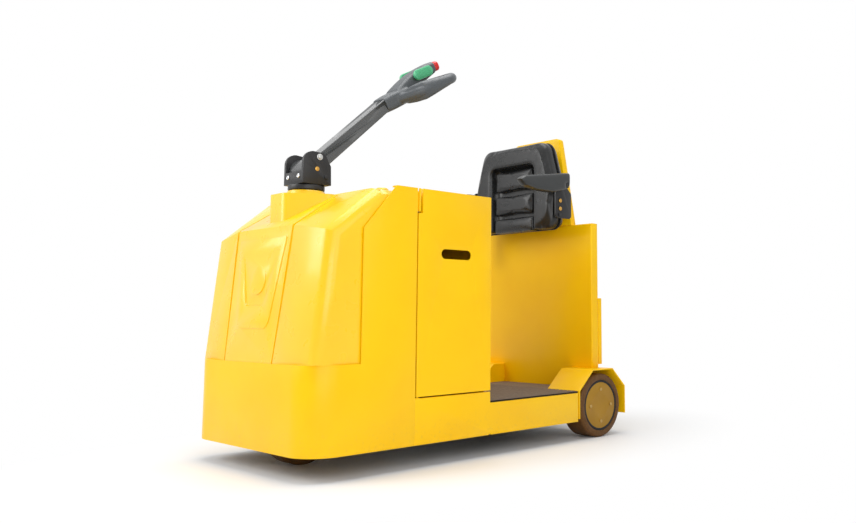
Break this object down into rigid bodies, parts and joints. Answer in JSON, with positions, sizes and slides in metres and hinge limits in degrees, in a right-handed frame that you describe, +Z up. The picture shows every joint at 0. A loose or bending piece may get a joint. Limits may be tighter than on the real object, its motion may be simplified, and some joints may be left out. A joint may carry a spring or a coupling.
{
  "type": "electric tow tractor",
  "caption": "Stand-on electric tow tractor with a steering tiller, moulded nose, platform with rubber mat, lean-on backrest and rear tow coupling.",
  "frame": {"origin": "on the floor, under the middle of the overall box", "axes": "+X forward, +Y to the left, +Z up; the wheels turn about Y"},
  "size_m": [1.48, 0.74, 1.4843],
  "materials": {
    "yellow_paint": "gloss powder coat, signal yellow",
    "yellow_cover": "moulded cover, gloss yellow",
    "black_steel": "satin black paint",
    "grey_steel": "satin dark grey paint",
    "frame_steel": "matt black primer",
    "grey_plastic": "fine grained moulded grey",
    "black_plastic": "grained black moulding",
    "green_plastic": "moulded green",
    "red_plastic": "moulded red",
    "vinyl": "soft black vinyl",
    "mat_rubber": "ribbed rubber mat, dusty",
    "tyre": "brown polyurethane",
    "wheel_disc": "zinc yellow passivate",
    "brass": "plain brass",
    "zinc": "zinc plated"
  },
  "bodies": {
    "chassis": {"chassis_frame": "frame_steel", "front_shell": "yellow_paint", "front_cover": "yellow_cover", "cover_cap": "yellow_cover", "top_deck": "yellow_paint", "rear_bulkhead": "yellow_paint", "dash_panel": "black_plastic", "side_sill_left": "yellow_paint", "side_sill_right": "yellow_paint", "platform_floor": "frame_steel", "step_mat": "mat_rubber", "door_hinges": "yellow_paint", "battery": "black_steel", "rear_panel": "yellow_paint", "rear_box": "yellow_paint", "backrest_tower": "yellow_paint", "backrest_mount": "black_steel", "backrest_shell": "black_plastic", "backrest_cushion": "vinyl", "armrest_left": "vinyl", "armrest_right": "vinyl", "fender_left": "yellow_paint", "fender_right": "yellow_paint", "rear_axle": "frame_steel", "tow_coupling": "black_steel"},
    "tow_pin": {"tow_pin": "zinc"},
    "door_left": {"service_door_left": "yellow_paint"},
    "door_right": {"service_door_right": "yellow_paint"},
    "steering": {"steering_column": "black_steel", "tiller_base": "black_steel", "tiller_pivot": "brass", "drive_fork": "frame_steel", "drive_motor": "black_steel"},
    "drive_wheel": {"drive_hub": "black_steel", "drive_tyre": "tyre"},
    "tiller": {"tiller_arm": "grey_steel", "tiller_head": "grey_plastic", "thumb_rocker": "green_plastic", "belly_button": "red_plastic"},
    "rear_wheel_left": {"rear_hub_left": "wheel_disc", "rear_tyre_left": "tyre"},
    "rear_wheel_right": {"rear_hub_right": "wheel_disc", "rear_tyre_right": "tyre"}
  },
  "joints": [
    {"name": "steer", "type": "hinge", "parent": "chassis", "child": "steering", "pos_m": [0.545, 0, 0.5], "axis": [0, 0, 1], "range_deg": [-90, 90]},
    {"name": "tiller_tilt", "type": "hinge", "parent": "steering", "child": "tiller", "pos_m": [0.542, 0, 0.979], "axis": [0, 1, 0], "range_deg": [-35, 45]},
    {"name": "drive_wheel_spin", "type": "hinge", "parent": "steering", "child": "drive_wheel", "pos_m": [0.545, 0, 0.115], "axis": [0, 1, 0], "continuous": true},
    {"name": "rear_wheel_left_spin", "type": "hinge", "parent": "chassis", "child": "rear_wheel_left", "pos_m": [-0.584, 0.317, 0.125], "axis": [0, 1, 0], "continuous": true},
    {"name": "rear_wheel_right_spin", "type": "hinge", "parent": "chassis", "child": "rear_wheel_right", "pos_m": [-0.584, -0.317, 0.125], "axis": [0, 1, 0], "continuous": true},
    {"name": "door_left_open", "type": "hinge", "parent": "chassis", "child": "door_left", "pos_m": [0.3445, 0.366, 0.56], "axis": [0, 0, -1], "range_deg": [0, 100]},
    {"name": "door_right_open", "type": "hinge", "parent": "chassis", "child": "door_right", "pos_m": [0.3445, -0.366, 0.56], "axis": [0, 0, 1], "range_deg": [0, 100]},
    {"name": "tow_pin_lift", "type": "slide", "parent": "chassis", "child": "tow_pin", "axis": [0, 0, 1], "range_m": [0, 0.07]}
  ]
}
